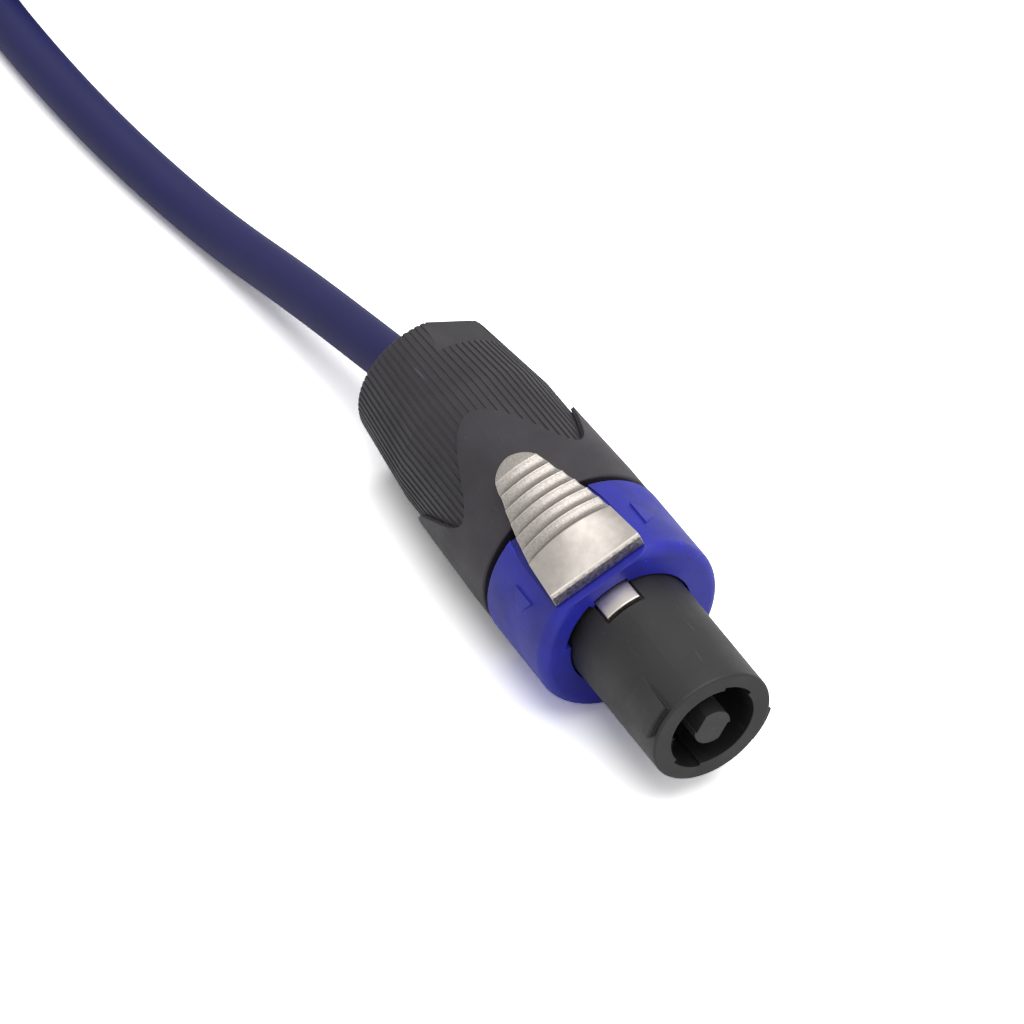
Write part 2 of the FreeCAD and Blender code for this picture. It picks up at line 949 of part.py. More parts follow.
def shell_wave(tag):
    """Everything behind the waved edge: four crests in line with the latch, four valleys between."""
    middle = size("(shell_crest + shell_valley) / 2")
    swing = size("(shell_crest - shell_valley) / 2")
    swell = size("shell_crest_swell")
    rims = []
    for radius in (size("housing_radius"), size("shell_radius + 2")):
        points = []
        for k in range(WAVE_POINTS):
            turn = 360 * k / WAVE_POINTS
            angle = math.radians(SHELL_WAVES * turn)
            wave = math.cos(angle) + swell * math.sin(angle) ** 2
            points.append(polar(middle + swing * wave, radius, turn))
        curve = Part.BSplineCurve()
        curve.interpolate(Points=points, PeriodicFlag=True)
        rims.append(curve.toShape())
    ruled = Part.makeRuledSurface(*rims)
    return solid(tag + "wave", ruled.extrude(Vector(0, 0, size("connector_length / 2"))))


# Bushing and chuck


def bushing(tag):
    """The rear nut: ribbed outside, threaded over the housing, coned inside to close the chuck."""
    skin = turned(tag + "bushing_ribbed", bushing_outside("0"))
    core = turned(tag + "bushing_core", bushing_outside("rib_depth"))
    ribs = common(tag + "bushing_ribs", skin, spokes(tag))
    hollow = turned(
        tag + "bushing_hollow",
        [
            ("bushing_front - 1", "0"),
            ("bushing_front - 1", "thread_radius + bushing_thread_gap"),
            ("bushing_cone_front", "thread_radius + bushing_thread_gap"),
            ("bushing_cone_front", "bushing_cone_radius"),
            ("bushing_cone_end", "bushing_opening"),
            ("connector_length + 1", "bushing_opening"),
            ("connector_length + 1", "0"),
        ],
    )
    flats = [
        block(
            f"{tag}wrench_flat_{k}",
            "wrench_flat",
            "rib_tip + 1",
            "rib_tip",
            "wrench_front",
            "connector_length",
            f"wrench_turn + {180 * k}",
        )
        for k in range(2)
    ]
    return cut(tag + "bushing", fuse(tag + "bushing_mass", core, ribs), hollow, *flats)


def bushing_outside(depth):
    """The bushing's outside, at a depth below the tips of its ribs."""
    return [
        ("bushing_front", "0"),
        ("bushing_front", f"rib_tip - {depth}"),
        ("bushing_taper_start", f"rib_tip - {depth}"),
        ("connector_length - bushing_bevel", f"bushing_end_radius - {depth}"),
        ("connector_length", f"bushing_end_radius - bushing_bevel - {depth}"),
        ("connector_length", "0"),
    ]


def spokes(tag):
    """A star of thin spokes, as long as the bushing, that leaves the ribs when cut by its outside."""
    half = size("rib_width") / 2
    inner = size("bushing_opening")
    outer = size("rib_tip") + 1
    points = []
    for k in range(RIBS):
        turn = 360 * (k + 0.5) / RIBS
        for radius, side in ((inner, -half), (outer, -half), (outer, half), (inner, half)):
            lean = math.degrees(math.asin(side / radius))
            points.append(polar(size("bushing_front"), radius, turn + lean))
    face = Part.Face(Part.makePolygon(points + points[:1]))
    return solid(tag + "spokes", face.extrude(Vector(0, 0, size("connector_length"))))


def chuck(tag):
    """The split collet that the bushing's cone closes on the cord."""
    cone_slope = "(bushing_cone_radius - bushing_opening) / (bushing_cone_end - bushing_cone_front)"
    cone_at_end = f"bushing_cone_radius - (chuck_end - bushing_cone_front) * {cone_slope}"
    sleeve = "thread_radius - thread_wall - chuck_gap"
    cone_start = f"bushing_cone_front + (bushing_cone_radius - chuck_gap - ({sleeve})) / ({cone_slope})"
    body = turned(
        tag + "chuck_body",
        [
            ("chuck_front", "cord_radius + chuck_grip_gap"),
            ("chuck_front", sleeve),
            (cone_start, sleeve),
            ("chuck_end", f"{cone_at_end} - chuck_gap"),
            ("chuck_end", "cord_radius + chuck_grip_gap"),
        ],
    )
    slots = [
        block(
            f"{tag}chuck_slot_{k}",
            "cord_radius / 2",
            "thread_radius",
            "chuck_slot / 2",
            "chuck_slot_front",
            "chuck_end",
            str(360 * k / CHUCK_SLOTS),
        )
        for k in range(CHUCK_SLOTS)
    ]
    return cut(tag + "chuck", body, *slots)


# Cord inside the connector


def wire_path(turn, radius_end):
    """A conductor's way from the cord to its terminal: straight, an S of two arcs, straight."""
    start = polar(size("jacket_front"), size("wire_offset"), turn)
    bend_in = polar(size("wire_bend_end"), size("wire_offset"), turn)
    bend_out = polar(size("wire_bend_front"), radius_end, turn)
    end = polar(size("block_front + block_length + block_gap"), radius_end, turn)
    back = Z_AXIS * -1
    edges = [Part.LineSegment(start, bend_in).toShape()]
    edges += biarc(bend_in, back, bend_out, back)
    edges.append(Part.LineSegment(bend_out, end).toShape())
    return edges


def wires(tag):
    """The two insulated conductors, red and black."""
    made = {}
    for colour, seat in zip(("red", "black"), contact_seats()):
        _, turn, _, _, _, low = seat
        path = wire_path(size(turn), size(f"{low} + block_size / 2"))
        made[colour] = solid(f"{tag}wire_{colour}", tube(path, size("insulation_radius")))
    return made


def copper_ends(tag):
    """The bared ends of both conductors, inside their blocks."""
    rods = []
    for _, turn, _, _, _, low in contact_seats()[:2]:
        start = polar(size("block_front + copper_inset"), size(f"{low} + block_size / 2"), size(turn))
        long = size("block_length + block_gap - copper_inset")
        rods.append(Part.makeCylinder(size("copper_radius"), long, start))
    return solid(tag + "copper", Part.makeCompound(rods))


def lean_direction(place):
    """Which way the cord leans as it leaves the near connector, in the connector's own frame."""
    angle = math.radians(size("lean_side"))
    downwards = Vector(0, -math.sin(angle), -math.cos(angle))
    return place.Rotation.inverted().multVec(downwards)


def cord_end_path(place, leans):
    """The jacket's line through the chuck and bushing; on the near connector it leans at the rear."""
    front = Vector(0, 0, size("jacket_front"))
    rear = Vector(0, 0, size("connector_length"))
    if not leans:
        return [Part.LineSegment(front, rear).toShape()]
    bend = Vector(0, 0, size("lean_start"))
    reach = size("connector_length - lean_start")
    half = math.radians(size("lean_angle")) / 2
    leave = rear + lean_direction(place) * (reach * math.tan(half))
    handle = (leave - bend).Length / 2 / math.cos(half)
    corner = bend + Z_AXIS * handle
    return [Part.LineSegment(front, bend).toShape(), arc_between(bend, corner, leave)]


def connector(tag, place, leans):
    """Lay every piece of one connector in its place, and give the place where its cord leaves."""
    node(tag + "nose_housing", housing(tag), place)
    node(tag + "contact_core", contact_core(tag), place)
    for seat in contact_seats():
        node(tag + seat[0], contact(tag, seat), place)
    node(tag + "terminal_blocks", terminal_blocks(tag), place)
    node(tag + "terminal_screws", terminal_screws(tag), place)
    node(tag + "colour_ring", colour_ring(tag), place)
    node(tag + "latch", latch(tag), place)
    spring_place = place * Placement(Vector(size("(bar_bottom + bar_top) / 2"), 0, 0), Rotation())
    node(tag + "latch_spring", latch_spring(tag), spring_place)
    node(tag + "outer_shell", shell(tag), place)
    node(tag + "bushing", bushing(tag), place)
    node(tag + "chuck", chuck(tag), place)
    for colour, wire in wires(tag).items():
        node(f"{tag}wire_{colour}", wire, place)
    node(tag + "copper_ends", copper_ends(tag), place)
    path = cord_end_path(place, leans)
    jacket = solid(tag + "jacket", tube(path, size("cord_radius")))
    node(tag + "cord_end", jacket, place)
    last = path[-1]
    return place.multVec(last.valueAt(last.LastParameter))


# Free cord, hank and strap


def lay(along, side, height):
    """A point of the whole part, from its distance behind the near nose, its side and height."""
    return Vector(size("connector_length") / 2 - along, -side, height)


def route_tube(exit_point):
    """The free cord up to the hank: straight runs joined by tangent arcs."""
    points = [exit_point] + [lay(*p) for p in ROUTE]
    edges = []
    reached = points[0]
    radii = []
    for before, corner, after in zip(points, points[1:], points[2:]):
        inward = (corner - before).normalize()
        outward = (after - corner).normalize()
        half = inward.getAngle(outward) / 2
        handle = ARC_SHARE * min((corner - before).Length, (after - corner).Length)
        radii.append(handle / math.tan(half))
        first = corner - inward * handle
        second = corner + outward * handle
        edges.append(Part.LineSegment(reached, first).toShape())
        edges.append(arc_between(first, corner, second))
        reached = second
    edges.append(Part.LineSegment(reached, points[-1]).toShape())
    print("cord radii", [round(r) for r in radii])
    return tube(edges, size("cord_radius")), sum(e.Length for e in edges)


def hank_offsets():
    """The side offsets of the hank's runs, spiralling in on the floor and out again on top."""
    outer = size("hank_outer_offset")
    pitch = size("hank_pitch")
    inwards = [outer - pitch * k / 2 for k in range(4)]
    return inwards + inwards[-2::-1]


def hank_stations():
    """Places and directions along the hank: each run's ends and waist, and each turn's top."""
    start = size("hank_start")
    end = size("hank_start + hank_run")
    waist = (start + end) / 2
    drawn = size("hank_waist")
    floor = size("cord_radius")
    layer = size("hank_layer")
    lift = size("hank_lift")
    centre = ROUTE[-1][1] - size("hank_outer_offset")
    offsets = hank_offsets()
    stations = []
    for k, offset in enumerate(offsets):
        sign = 1 if k % 2 == 0 else -1
        first, last = (start, end) if sign == 1 else (end, start)
        climbs = k == 3
        low = floor if k <= 3 else floor + layer
        high = floor if k < 3 else floor + layer
        slope = 2 * layer / size("hank_run") if climbs else 0
        side = centre + sign * offset
        final = k == len(offsets) - 1
        stations.append((lay(first, side, low), heading(sign, 0)))
        middle = (low + high) / 2 + lift
        stations.append((lay(waist, side - sign * drawn, middle), heading(sign, slope)))
        if final:
            stations += climb_stations(centre, side, high + lift)
            break
        stations.append((lay(last, side, high), heading(sign, 0)))
        turn_radius = (offset + offsets[k + 1]) / 2
        top = lay(last + sign * turn_radius, side - sign * turn_radius, high)
        stations.append((top, Vector(0, sign, 0)))
    return stations


def heading(sign, slope):
    """The direction of a run, away from the near connector or back, at a slope."""
    return Vector(-sign, 0, slope).normalize()


def climb_stations(centre, side, height):
    """The last half turn, which rises from the top layer into the far connector."""
    end = size("hank_start + hank_run")
    past = end + CLIMB_PAST
    far_side = centre - size("far_offset")
    radius = (side - far_side) / 2
    (rise_0, slope_0), (rise_1, slope_1), (rise_2, slope_2), (rise_3, slope_3) = CLIMB
    entry = far_nose_along() + size("connector_length")
    level = far_axis_height()
    return [
        (lay(end, side, height + rise_0), heading(1, slope_0)),
        (lay(past, side, height + rise_1), heading(1, slope_1)),
        (lay(past + radius, side - radius, height + rise_2), Vector(0, 1, slope_2).normalize()),
        (lay(past, far_side, height + rise_3), heading(-1, slope_3)),
        (lay(entry + CLIMB_STRAIGHT, far_side, level), heading(-1, 0)),
        (lay(entry, far_side, level), heading(-1, 0)),
    ]


def strap_top():
    """How high the strap stands over the floor."""
    stack = size("2 * cord_radius + hank_layer + hank_lift + strap_gap")
    return stack + size("strap_thick")


def far_axis_height():
    """The far connector's axis, with its shell resting on the strap."""
    return strap_top() + size("far_rest_gap + shell_radius")


def far_nose_along():
    """Where the far connector's nose lies, with its shell's straight part over the strap."""
    shell_middle = size("(ring_front + ring_length + shell_gap + shell_taper_start) / 2")
    return size("hank_start + hank_run / 2") - shell_middle


def hank_tube():
    """The hank: one unbroken tube of biarcs through its stations."""
    stations = hank_stations()
    edges = []
    for (start, leaving), (end, arriving) in zip(stations, stations[1:]):
        edges += biarc(start, leaving, end, arriving)
    print("hank's least gap to itself", round(least_gap(edges), 3))
    print("hank's least radius", round(min(least_radius(e) for e in edges), 1))
    return tube(edges, size("cord_radius")), sum(e.Length for e in edges)


def least_radius(edge):
    return edge.Curve.Radius if isinstance(edge.Curve, Part.Circle) else math.inf


def least_gap(edges):
    """The least gap between stretches of the tube that aren't neighbours, on points 2 mm apart."""
    step = 2.0
    points = []
    for edge in edges:
        count = max(2, round(edge.Length / step))
        points += edge.discretize(count + 1)[:-1]
    apart = int(30 / step)
    nearest = min(
        (points[a] - points[b]).Length
        for a in range(len(points))
        for b in range(a + apart, len(points))
    )
    return nearest - 2 * size("cord_radius")


def strap():
    """The hook-and-loop strap round the hank's waist."""
    drawn = size("hank_waist")
    centre = ROUTE[-1][1] - size("hank_outer_offset")
    offsets = hank_offsets()
    gap = size("strap_gap")
    reach = size("cord_radius") + gap
    high_side = centre + offsets[0] - drawn + reach
    low_side = centre - offsets[1] + drawn - reach
    middle = size("hank_start + (hank_run + strap_width) / 2")
    thick = size("strap_thick")
    faces = []
    for grow in (thick, 0):
        faces.append(
            rounded_face(
                middle,
                low_side - grow,
                high_side + grow,
                thick - grow,
                strap_top() - thick + grow,
                reach + grow,
            )
        )
    band = faces[0].cut(faces[1])
    return band.extrude(Vector(size("strap_width"), 0, 0))


def rounded_face(along, low_side, high_side, low, high, rounding):
    """A rectangle with round corners that stands across the part."""
    edges = []
    corners = (
        (high_side, low, 1, -1),
        (high_side, high, 1, 1),
        (low_side, high, -1, 1),
        (low_side, low, -1, -1),
    )
    ends = []
    for side, height, out_side, out_up in corners:
        centre = (side - out_side * rounding, height - out_up * rounding)
        share = math.sqrt(0.5) * rounding
        middle = lay(along, centre[0] + out_side * share, centre[1] + out_up * share)
        on_side = lay(along, side, centre[1])
        on_level = lay(along, centre[0], height)
        ends.append((on_level, middle, on_side) if out_side == -out_up else (on_side, middle, on_level))
    for k, (start, middle, end) in enumerate(ends):
        edges.append(Part.Arc(start, middle, end).toShape())
        edges.append(Part.LineSegment(end, ends[(k + 1) % 4][0]).toShape())
    return Part.Face(Part.Wire(edges))


def lying(nose, roll):
    """The placement of a connector whose nose points to +X, its latch rolled off the vertical."""
    angle = math.radians(roll)
    latch_way = Vector(0, -math.sin(angle), math.cos(angle))
    side_way = Vector(0, math.cos(angle), math.sin(angle))
    return Placement(nose, Rotation(latch_way, side_way, Vector(-1, 0, 0), "ZXY"))


def check_and_export():
    """Refuse any failed object, then write each piece to its own file."""
    DOC.recompute()
    failed = [o.Name for o in DOC.Objects if {"Invalid", "Error"} & set(o.State)]
    if failed:
        raise RuntimeError(f"failed objects: {failed}")
    for obj in NODES:
        if obj.Shape.isNull() or not obj.Shape.isValid():
            raise RuntimeError(f"bad shape: {obj.Label}")
    os.makedirs("parts", exist_ok=True)
    for obj in NODES:
        obj.Shape.exportStep(f"parts/{obj.Label}.step")


def main():
    make_sheet()
    near = lying(lay(0, 0, size("ring_radius")), size("near_roll"))
    exit_point = connector("near_", near, leans=True)
    far_side = ROUTE[-1][1] - size("hank_outer_offset + far_offset")
    far = lying(lay(far_nose_along(), far_side, far_axis_height()), size("far_roll"))
    connector("far_", far, leans=False)
    cord, cord_length = route_tube(exit_point)
    hank, hank_length = hank_tube()
    node("speaker_cord", solid("cord", cord), Placement())
    node("cord_hank", solid("hank", hank), Placement())
    node("hank_strap", solid("strap", strap()), Placement())
    section = math.pi * size("cord_radius") ** 2
    for label, shape, length in (("cord", cord, cord_length), ("hank", hank, hank_length)):
        print(label, "length", round(length, 1), "volume ratio", shape.Volume / section / length)
    print("cord and hank together", round(cord_length + hank_length, 1))
    check_and_export()


main()
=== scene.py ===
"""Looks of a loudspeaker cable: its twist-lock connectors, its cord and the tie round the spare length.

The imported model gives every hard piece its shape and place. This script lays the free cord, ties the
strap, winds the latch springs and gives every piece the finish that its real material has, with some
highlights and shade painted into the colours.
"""

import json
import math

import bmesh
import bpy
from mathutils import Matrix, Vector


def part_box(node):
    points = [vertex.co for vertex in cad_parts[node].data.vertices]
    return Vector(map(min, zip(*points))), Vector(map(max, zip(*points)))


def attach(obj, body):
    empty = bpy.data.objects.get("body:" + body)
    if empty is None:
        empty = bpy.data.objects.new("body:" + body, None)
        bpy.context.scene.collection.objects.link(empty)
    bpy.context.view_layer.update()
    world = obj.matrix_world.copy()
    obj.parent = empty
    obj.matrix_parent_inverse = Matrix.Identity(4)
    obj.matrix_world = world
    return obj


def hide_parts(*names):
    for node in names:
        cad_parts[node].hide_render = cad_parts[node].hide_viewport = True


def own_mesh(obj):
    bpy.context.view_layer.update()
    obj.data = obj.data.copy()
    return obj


bl_info = {
    "name": "Loudspeaker Cable",
    "version": (1, 0, 0),
    "blender": (4, 5, 0),
    "location": "3D View > Sidebar > Cable",
    "description": "Lays the cord of a loudspeaker cable and finishes its connectors",
    "category": "Object",
}

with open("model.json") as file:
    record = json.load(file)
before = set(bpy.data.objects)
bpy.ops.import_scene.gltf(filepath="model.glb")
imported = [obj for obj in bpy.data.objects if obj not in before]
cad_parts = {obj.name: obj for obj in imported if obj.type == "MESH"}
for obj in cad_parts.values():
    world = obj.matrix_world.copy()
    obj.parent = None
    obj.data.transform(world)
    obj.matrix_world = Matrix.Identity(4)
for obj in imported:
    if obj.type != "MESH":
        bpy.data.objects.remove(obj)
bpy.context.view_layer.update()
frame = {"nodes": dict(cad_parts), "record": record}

MM = 0.001
SIDES = ("near", "far")

# Where each nose's front is centred, and how far its latch is rolled off the vertical.
NOSE = {
    mount["name"].split("_")[0]: Vector(mount["pos_m"])
    for mount in frame["record"]["mounts"]
    if mount["name"].endswith("bayonet_nose")
}
ROLL = {"near": 20.5, "far": 0.0}

# Distances behind the nose's front of the latch's front wall and of the first scoop of its thumb grip,
# and how far its tongue reaches from the connector's axis.
LATCH_FRONT = 0.0212
GRIP_START = 0.0278
TONGUE_TOP = 0.0094

# The latch's cast grain: its size, its depth on the panel, and how much deeper it is on the thumb
# grip and on the front wall.
CAST_GRAIN = 0.2 * MM
PANEL_DEPTH = 0.012 * MM
GRIP_DEPTH = 0.03 * MM
WALL_DEPTH = 0.08 * MM

# The cord's route from the near connector to the hank, in metres.
EXIT = (-0.0371, -0.000583, 0.012636)
ROUTE = (
    (-0.0529, -0.00227, 0.01028),
    (-0.0679, -0.00375, 0.00760),
    (-0.0869, -0.00575, 0.00350),
    (-0.1039, -0.00864, 0.00350),
    (-0.1209, -0.01053, 0.00350),
    (-0.1389, -0.01142, 0.00350),
    (-0.1571, -0.01145, 0.00350),
)

# The hank, in metres: where its runs start and end, the line that its loops lie round, how far
# each run lies from that line, how far the waist is drawn in and lifted, and the step between layers.
HANK_START = -0.1749
HANK_RUN = 0.110
HANK_CENTRE = 0.02005
HANK_OFFSETS = (0.0315, 0.02735, 0.0232, 0.01905, 0.0232, 0.02735, 0.0315)
HANK_DRAWN = 0.0125
HANK_LIFT = 0.0016
HANK_LAYER = 0.0075
CLIMBING_RUN = 3
POINTS_A_RUN = 8
POINTS_A_TURN = 7

# The last half turn, which rises from the top layer into the far connector.
LAST_RISE = 0.0041
LAST_TURN_X = -0.2909
LAST_TURN_RADIUS = 0.02175
LAST_TURN_LOW = 0.0176
LAST_TURN_HIGH = 0.0297
FAR_AXIS = (0.03205, 0.0313)
FAR_REAR_X = -0.266425


class CordSizes(bpy.types.PropertyGroup):
    """The free cord."""

    length: bpy.props.FloatProperty(
        name="Length", description="Free length between the two connectors", default=1.5,
        min=0.5, unit="LENGTH",
    )
    diameter: bpy.props.FloatProperty(
        name="Diameter", description="Outer diameter of the jacket", default=0.007,
        min=0.004, unit="LENGTH",
    )
    jacket_colour: bpy.props.StringProperty(
        name="Jacket", description="Colour of the jacket, as sRGB hex", default="0E0E4C",
    )


class StrapSizes(bpy.types.PropertyGroup):
    """The hook-and-loop strap round the hank."""

    thickness: bpy.props.FloatProperty(
        name="Thickness", description="Thickness of the tape", default=0.0011, min=0.0003,
        unit="LENGTH",
    )
    fold_radius: bpy.props.FloatProperty(
        name="Fold", description="Radius of the tape's folds, at its middle", default=0.0046,
        min=0.001, unit="LENGTH",
    )
    lap_start: bpy.props.FloatProperty(
        name="Lap start", description="Height at which the tape's inner end lies", default=0.0065,
        min=0.001, unit="LENGTH",
    )
    lap_length: bpy.props.FloatProperty(
        name="Lap", description="Length of tape that lies over the inner end", default=0.0058,
        min=0.001, unit="LENGTH",
    )
    colour: bpy.props.StringProperty(
        name="Colour", description="Colour of the tape, as sRGB hex", default="1B1B1E",
    )


class SpringSizes(bpy.types.PropertyGroup):
    """The coil spring behind each latch, measured in the connector's own frame."""

    wire: bpy.props.FloatProperty(
        name="Wire", description="Diameter of the wire", default=0.0003, min=0.0001, unit="LENGTH",
    )
    coil_diameter: bpy.props.FloatProperty(
        name="Coil", description="Outer diameter of the coil", default=0.0016, min=0.0005,
        unit="LENGTH",
    )
    turns: bpy.props.IntProperty(
        name="Turns", description="Number of turns", default=13, min=3,
    )
    front: bpy.props.FloatProperty(
        name="Front", description="Distance of the coil's front behind the nose's", default=0.0256,
        min=0.001, unit="LENGTH",
    )
    length: bpy.props.FloatProperty(
        name="Length", description="Length of the coil at rest", default=0.0083, min=0.001,
        unit="LENGTH",
    )
    height: bpy.props.FloatProperty(
        name="Height", description="Distance of the coil's axis from the connector's",
        default=0.00985, min=0.001, unit="LENGTH",
    )
    travel: bpy.props.FloatProperty(
        name="Travel", description="How far the latch slides back", default=0.003, min=0.0005,
        unit="LENGTH",
    )


class ConnectorLooks(bpy.types.PropertyGroup):
    """Colours of the connectors' pieces, as sRGB hex."""

    nose_colour: bpy.props.StringProperty(
        name="Nose", description="Colour of the housing's nylon", default="171617",
    )
    core_colour: bpy.props.StringProperty(
        name="Core", description="Colour of the contact core's nylon", default="29292A",
    )
    shell_colour: bpy.props.StringProperty(
        name="Shell", description="Colour of the outer shell's nylon", default="2B272D",
    )
    bushing_colour: bpy.props.StringProperty(
        name="Bushing", description="Colour of the ribbed bushing's nylon", default="242126",
    )
    ring_colour: bpy.props.StringProperty(
        name="Ring", description="Colour of the colour-coding ring", default="1B1F99",
    )
    latch_colour: bpy.props.StringProperty(
        name="Latch", description="Colour of the latch's satin nickel", default="A9A39D",
    )


class StageSettings(bpy.types.PropertyGroup):
    """Floor, lamps and camera."""

    floor_size: bpy.props.FloatProperty(
        name="Floor", description="Side of the square floor", default=12.0, min=1.0, unit="LENGTH",
    )
    key_strength: bpy.props.FloatProperty(
        name="Overhead", description="Strength of the broad lamp overhead", default=1.9, min=0.0,
    )
    front_strength: bpy.props.FloatProperty(
        name="Front", description="Strength of the broad lamp in front", default=0.8, min=0.0,
    )
    fill_strength: bpy.props.FloatProperty(
        name="Fill", description="Strength of the light from all round", default=0.3, min=0.0,
    )
    over_exposure: bpy.props.FloatProperty(
        name="Exposure", description="How many times brighter than lit the camera sees the floor",
        default=2.2, min=1.0,
    )
    lens: bpy.props.FloatProperty(
        name="Lens", description="Focal length of the camera, in mm", default=171.464, min=10.0,
    )


def linear(code):
    """A colour from an sRGB hex code, in linear light."""
    shares = [int(code[k : k + 2], 16) / 255 for k in (0, 2, 4)]
    return tuple(s / 12.92 if s <= 0.04045 else ((s + 0.055) / 1.055) ** 2.4 for s in shares) + (1.0,)


def add_node(tree, kind, sockets=None, **settings):
    """Add a shader node with its settings, and give each named socket a value or a link."""
    node = tree.nodes.new(kind)
    for name, value in settings.items():
        setattr(node, name, value)
    for socket, given in (sockets or {}).items():
        if isinstance(given, bpy.types.NodeSocket):
            tree.links.new(given, node.inputs[socket])
        else:
            node.inputs[socket].default_value = given
    return node


def new_material(name):
    """An empty material, with its node tree, its place output and its surface to be linked."""
    material = bpy.data.materials.new(name)
    material.use_nodes = True
    tree = material.node_tree
    tree.nodes.clear()
    place = add_node(tree, "ShaderNodeTexCoord").outputs["Object"]
    return material, tree, place


def close_material(tree, shader):
    add_node(tree, "ShaderNodeOutputMaterial", {"Surface": shader.outputs[0]})


def mottle(tree, place, grain_mm, dark, light, detail=3.0):
    """A colour that drifts between two over patches of a size in millimetres."""
    noise = add_node(
        tree, "ShaderNodeTexNoise", {"Vector": place, "Scale": 1000 / grain_mm, "Detail": detail}
    )
    ramp = add_node(tree, "ShaderNodeValToRGB", {"Fac": noise.outputs["Fac"]})
    ramp.color_ramp.elements[0].position = 0.35
    ramp.color_ramp.elements[0].color = dark
    ramp.color_ramp.elements[1].position = 0.65
    ramp.color_ramp.elements[1].color = light
    return ramp.outputs["Color"]


def tinted(code, share):
    """A hex colour made lighter or darker by a share, in linear light."""
    return tuple(min(1.0, c * share) for c in linear(code)[:3]) + (1.0,)


def soft_edges(tree, radius_mm):
    """Normals that turn round an edge over a radius, and how near an edge each point is."""
    rounded = add_node(tree, "ShaderNodeBevel", {"Radius": radius_mm * MM}, samples=6)
    flat = add_node(tree, "ShaderNodeNewGeometry").outputs["Normal"]
    along = add_node(
        tree,
        "ShaderNodeVectorMath",
        {0: rounded.outputs["Normal"], 1: flat},
        operation="DOT_PRODUCT",
    )
    edge = add_node(
        tree,
        "ShaderNodeMapRange",
        {"Value": along.outputs["Value"], "From Min": 0.98, "From Max": 0.8},
    )
    return rounded.outputs["Normal"], edge.outputs["Result"]


def blended(tree, share, first, second):
    """A colour between two, by a share that may be a socket."""
    mix = add_node(tree, "ShaderNodeMix", data_type="RGBA")
    for socket, given in ((mix.inputs[0], share), (mix.inputs[6], first), (mix.inputs[7], second)):
        if isinstance(given, bpy.types.NodeSocket):
            tree.links.new(given, socket)
        else:
            socket.default_value = given
    return mix.outputs[2]


def above(tree, value, low, high):
    """A share that goes from none to all between two values of a socket."""
    return add_node(
        tree, "ShaderNodeMapRange", {"Value": value, "From Min": low, "From Max": high}
    ).outputs["Result"]


def either(tree, first, second):
    """The larger of two shares."""
    larger = add_node(tree, "ShaderNodeMath", {0: first, 1: second}, operation="MAXIMUM")
    return larger.outputs["Value"]


def both(tree, first, second):
    """The product of two shares."""
    product = add_node(tree, "ShaderNodeMath", {0: first, 1: second}, operation="MULTIPLY")
    return product.outputs["Value"]


def handling_marks(tree, place):
    """Where a piece is marked: dust specks of 0.15 mm, and short scuffs in a few patches."""
    cells = add_node(tree, "ShaderNodeTexVoronoi", {"Vector": place, "Scale": 1000 / 1.3})
    speck = above(tree, cells.outputs["Distance"], 0.11, 0.05)
    chosen = add_node(tree, "ShaderNodeSeparateColor", {"Color": cells.outputs["Color"]})
    kept = both(tree, speck, above(tree, chosen.outputs["Red"], 0.62, 0.9))
    drawn_out = add_node(
        tree,
        "ShaderNodeMapping",
        {"Vector": place, "Rotation": (0.3, 0.2, 0.9), "Scale": (0.07, 1.0, 1.0)},
    )
    lines = add_node(
        tree,
        "ShaderNodeTexNoise",
        {"Vector": drawn_out.outputs["Vector"], "Scale": 1000 / 0.5, "Detail": 2.0},
    )
    patches = add_node(
        tree, "ShaderNodeTexNoise", {"Vector": place, "Scale": 1000 / 7.0, "Detail": 1.0}
    )
    scuff = both(
        tree,
        above(tree, lines.outputs["Fac"], 0.66, 0.74),
        above(tree, patches.outputs["Fac"], 0.5, 0.62),
    )
    return either(tree, kept, scuff)


def moulded_nylon(name, code, grain_mm, roughness, grain_depth_mm, edge_mm=0.15, edge_highlight_and_wear=1.6):
    """Glass-filled nylon from an eroded mould: satin, even grain, flow clouds, edges painted lighter as
    highlight and partly as wear, specks.
    """
    material, tree, place = new_material(name)
    round_normal, edge = soft_edges(tree, edge_mm)
    grain = add_node(
        tree, "ShaderNodeTexNoise", {"Vector": place, "Scale": 1000 / grain_mm, "Detail": 2.0}
    )
    bump = add_node(
        tree,
        "ShaderNodeBump",
        {
            "Height": grain.outputs["Fac"],
            "Distance": grain_depth_mm * MM,
            "Strength": 1.0,
            "Normal": round_normal,
        },
    )
    flow = add_node(tree, "ShaderNodeTexNoise", {"Vector": place, "Scale": 1000 / 6.0, "Detail": 4.0})
    sheen = add_node(
        tree,
        "ShaderNodeMapRange",
        {
            "Value": flow.outputs["Fac"],
            "From Min": 0.3,
            "From Max": 0.7,
            "To Min": roughness - 0.08,
            "To Max": roughness + 0.08,
        },
    )
    rough = add_node(
        tree,
        "ShaderNodeMath",
        {0: grain.outputs["Fac"], 1: 0.12, 2: sheen.outputs["Result"]},
        operation="MULTIPLY_ADD",
    )
    clouds = mottle(tree, place, 5.0, tinted(code, 0.82), tinted(code, 1.18), 4.0)
    # every edge is painted lighter: a painted edge highlight, partly rubbed wear
    clouds_and_edge_highlight = blended(tree, edge, clouds, tinted(code, edge_highlight_and_wear))
    marked = blended(tree, handling_marks(tree, place), clouds_and_edge_highlight, tinted(code, 3.2))
    shader = add_node(
        tree,
        "ShaderNodeBsdfPrincipled",
        {
            "Base Color": marked,
            "Roughness": rough.outputs["Value"],
            "IOR": 1.5,
            "Normal": bump.outputs["Normal"],
        },
    )
    close_material(tree, shader)
    return material


